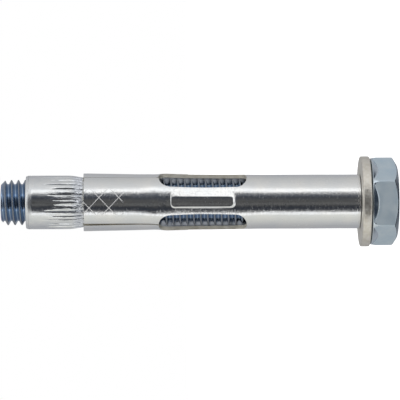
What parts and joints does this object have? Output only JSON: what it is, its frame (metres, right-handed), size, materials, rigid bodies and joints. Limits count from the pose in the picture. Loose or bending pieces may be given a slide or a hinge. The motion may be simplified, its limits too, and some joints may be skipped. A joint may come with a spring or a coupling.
{
  "type": "sleeve anchor bolt",
  "caption": "Hex head anchor bolt with washer, slotted expansion sleeve with windows and raised pads, and a ribbed cone nut on its threaded end.",
  "frame": {"origin": "centre of the washer's bearing face, the plane that lies on the fixture", "axes": "+Z along the bolt from its head to its tip; the strip seen in the picture faces -Y, turned 2.5 degrees towards +X"},
  "size_m": [0.0197, 0.0196, 0.086],
  "materials": {
    "bolt_steel": "blue zinc plated, rolled and cold headed",
    "washer_steel": "zinc plated, blanked",
    "sleeve_steel": "bright zinc plated sheet",
    "cone_steel": "bright zinc plated, turned and ribbed"
  },
  "bodies": {
    "sleeve": {"expansion_sleeve": "sleeve_steel"},
    "bolt": {"hex_bolt": "bolt_steel"},
    "nut": {"cone_nut": "cone_steel"},
    "washer": {"flat_washer": "washer_steel"}
  },
  "joints": [
    {"name": "bolt_turn", "type": "hinge", "parent": "sleeve", "child": "bolt", "pos_m": [0, 0, 0], "axis": [0, 0, 1], "range_deg": [-360, 0]},
    {"name": "nut_travel", "type": "slide", "parent": "sleeve", "child": "nut", "axis": [0, 0, 1], "range_m": [0, 0.0015]},
    {"name": "washer_spin", "type": "hinge", "parent": "bolt", "child": "washer", "pos_m": [0, 0, -0.001], "axis": [0, 0, 1], "continuous": true}
  ],
  "couplings": [
    {"joint": "nut_travel", "follows": "bolt_turn", "m_per_rad": -0.00023873}
  ]
}
